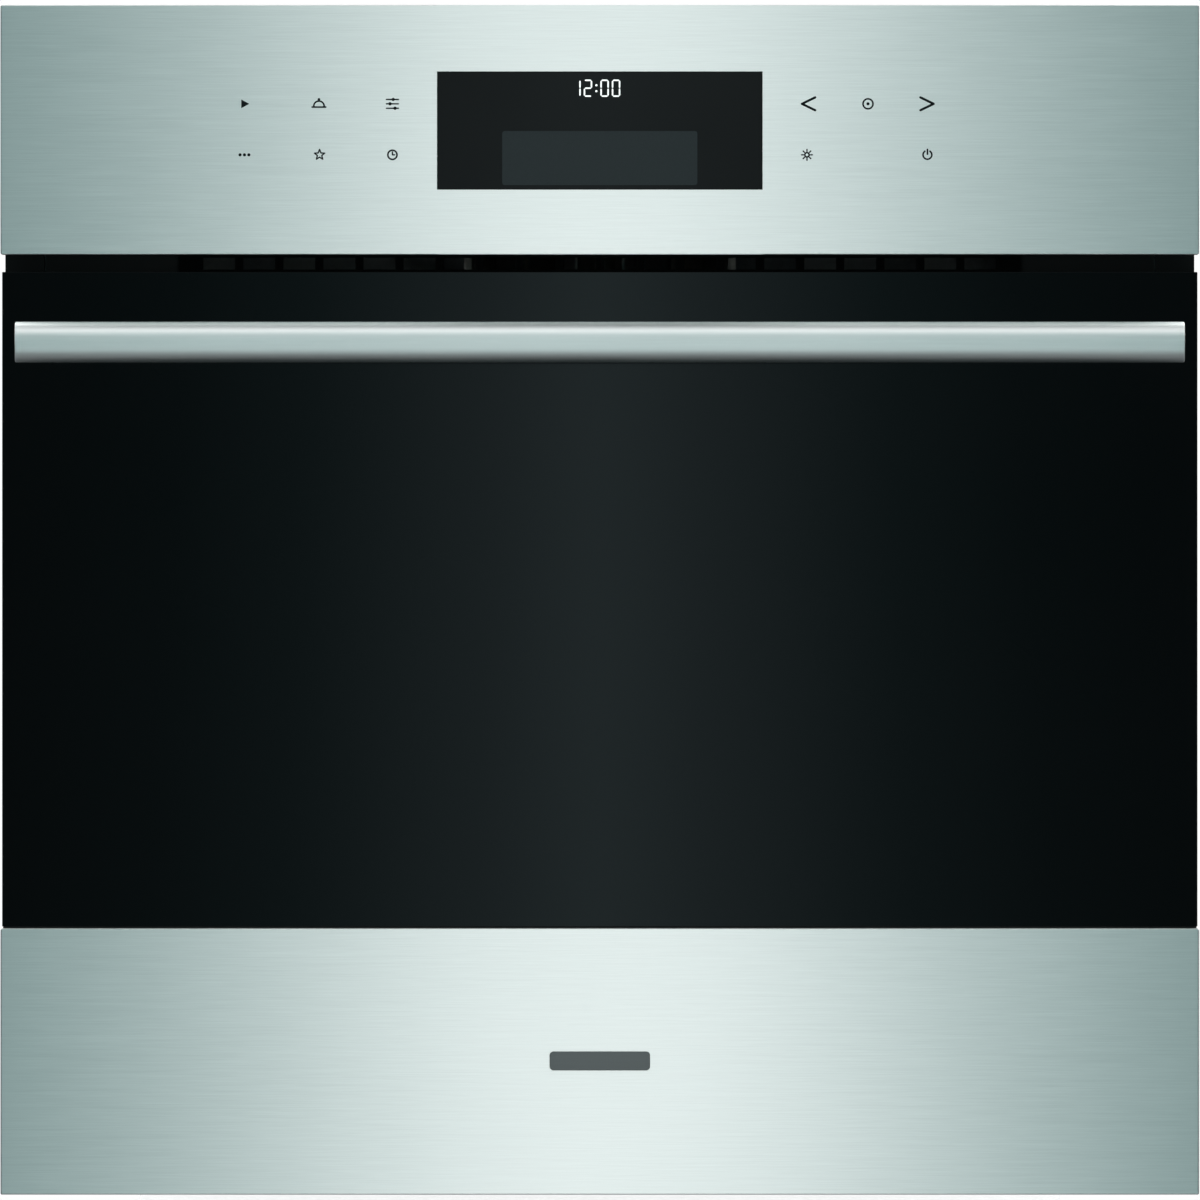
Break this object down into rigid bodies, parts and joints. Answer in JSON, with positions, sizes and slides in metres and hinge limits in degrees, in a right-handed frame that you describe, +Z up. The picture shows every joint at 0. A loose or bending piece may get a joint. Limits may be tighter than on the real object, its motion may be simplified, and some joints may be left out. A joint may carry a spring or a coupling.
{
  "type": "wall oven",
  "caption": "Built-in electric wall oven: brushed steel control fascia with a dark display, drop-down black glass door with a full-width round bar handle, steel lower trim.",
  "frame": {"origin": "centre of the underside of the base, where the oven rests on its shelf", "axes": "+Z up, +X to the right as seen from the front, +Y into the cabinet; the door faces -Y"},
  "size_m": [0.597, 0.6304, 0.5926],
  "materials": {
    "brushed_steel": "stainless, brushed along its length",
    "black_glass": "toughened glass, printed black, glossy",
    "clear_glass": "clear toughened glass",
    "black_enamel": "satin black enamel on sheet steel",
    "graphite_enamel": "glossy graphite enamel with fine specks",
    "galvanised_steel": "galvanised sheet steel, spangled",
    "zinc_plated": "zinc-plated steel",
    "chrome_wire": "bright chromed steel wire",
    "heater_alloy": "heat-stained nickel alloy tube",
    "gasket_braid": "braided glass-fibre seal",
    "mineral_wool": "mineral wool blanket",
    "lamp_glass": "ribbed borosilicate glass",
    "black_plastic": "heat-resistant black plastic",
    "circuit_board": "green laminate with components",
    "cable_sleeve": "sleeved silicone cables",
    "nameplate": "dark anodised blank plate"
  },
  "bodies": {
    "carcase": {"base_panel": "galvanised_steel", "side_panel_left": "galvanised_steel", "side_panel_right": "galvanised_steel", "top_cover": "galvanised_steel", "rear_panel": "galvanised_steel", "air_duct": "galvanised_steel", "lamp_housing": "galvanised_steel", "front_frame": "black_enamel", "mount_flange_left": "black_enamel", "mount_flange_right": "black_enamel", "cavity": "graphite_enamel", "fan_baffle": "graphite_enamel", "cavity_gasket": "gasket_braid", "insulation_wrap": "mineral_wool", "ring_element": "heater_alloy", "grill_element": "heater_alloy", "bake_element": "heater_alloy", "convection_motor": "zinc_plated", "cooling_fan_motor": "zinc_plated", "hinge_claw_left": "zinc_plated", "hinge_claw_right": "zinc_plated", "lamp_bulb": "lamp_glass", "lamp_lens": "lamp_glass", "rack_ladder_left": "chrome_wire", "rack_ladder_right": "chrome_wire", "temperature_probe": "chrome_wire", "vent_grille": "black_plastic", "control_housing": "black_plastic", "display_module": "black_plastic", "terminal_box": "black_plastic", "terminal_cover": "black_plastic", "control_fascia": "brushed_steel", "display_window": "black_glass", "control_board": "circuit_board", "power_board": "circuit_board", "wiring_harness": "cable_sleeve"},
    "door": {"door_glass_outer": "black_glass", "door_glass_middle": "clear_glass", "door_glass_inner": "black_glass", "door_inner_frame": "black_enamel", "door_lower_trim": "brushed_steel", "door_side_channel_left": "black_enamel", "door_side_channel_right": "black_enamel", "door_top_rail": "black_enamel", "door_bottom_rail": "galvanised_steel", "handle_bar": "brushed_steel", "handle_post_left": "brushed_steel", "handle_post_right": "brushed_steel", "hinge_channel_left": "zinc_plated", "hinge_channel_right": "zinc_plated", "hinge_pin_left": "zinc_plated", "hinge_pin_right": "zinc_plated", "hinge_spring_left": "zinc_plated", "hinge_spring_right": "zinc_plated", "badge_plate": "nameplate"},
    "convection_fan": {"convection_fan": "zinc_plated"},
    "cooling_fan": {"cooling_fan_wheel": "zinc_plated"},
    "rack": {"wire_rack": "chrome_wire"},
    "tray": {"baking_tray": "graphite_enamel"}
  },
  "joints": [
    {"name": "door_hinge", "type": "hinge", "parent": "carcase", "child": "door", "pos_m": [0, -0.28, 0.0096], "axis": [1, 0, 0], "range_deg": [0, 90], "stiffness_Nm_per_rad": 10, "springref_deg": -8.59},
    {"name": "rack_slide", "type": "slide", "parent": "carcase", "child": "rack", "axis": [0, -1, 0], "range_m": [0, 0.3]},
    {"name": "tray_slide", "type": "slide", "parent": "carcase", "child": "tray", "axis": [0, -1, 0], "range_m": [0, 0.22]},
    {"name": "convection_fan_spin", "type": "hinge", "parent": "carcase", "child": "convection_fan", "pos_m": [0, 0.136, 0.2496], "axis": [0, 1, 0], "continuous": true},
    {"name": "cooling_fan_spin", "type": "hinge", "parent": "carcase", "child": "cooling_fan", "pos_m": [0, 0.05, 0.4606], "axis": [0, 0, 1], "continuous": true}
  ],
  "couplings": [
    {"joint": "rack_slide", "follows": "door_hinge", "m_per_rad": 0.19},
    {"joint": "tray_slide", "follows": "door_hinge", "m_per_rad": 0.14}
  ]
}
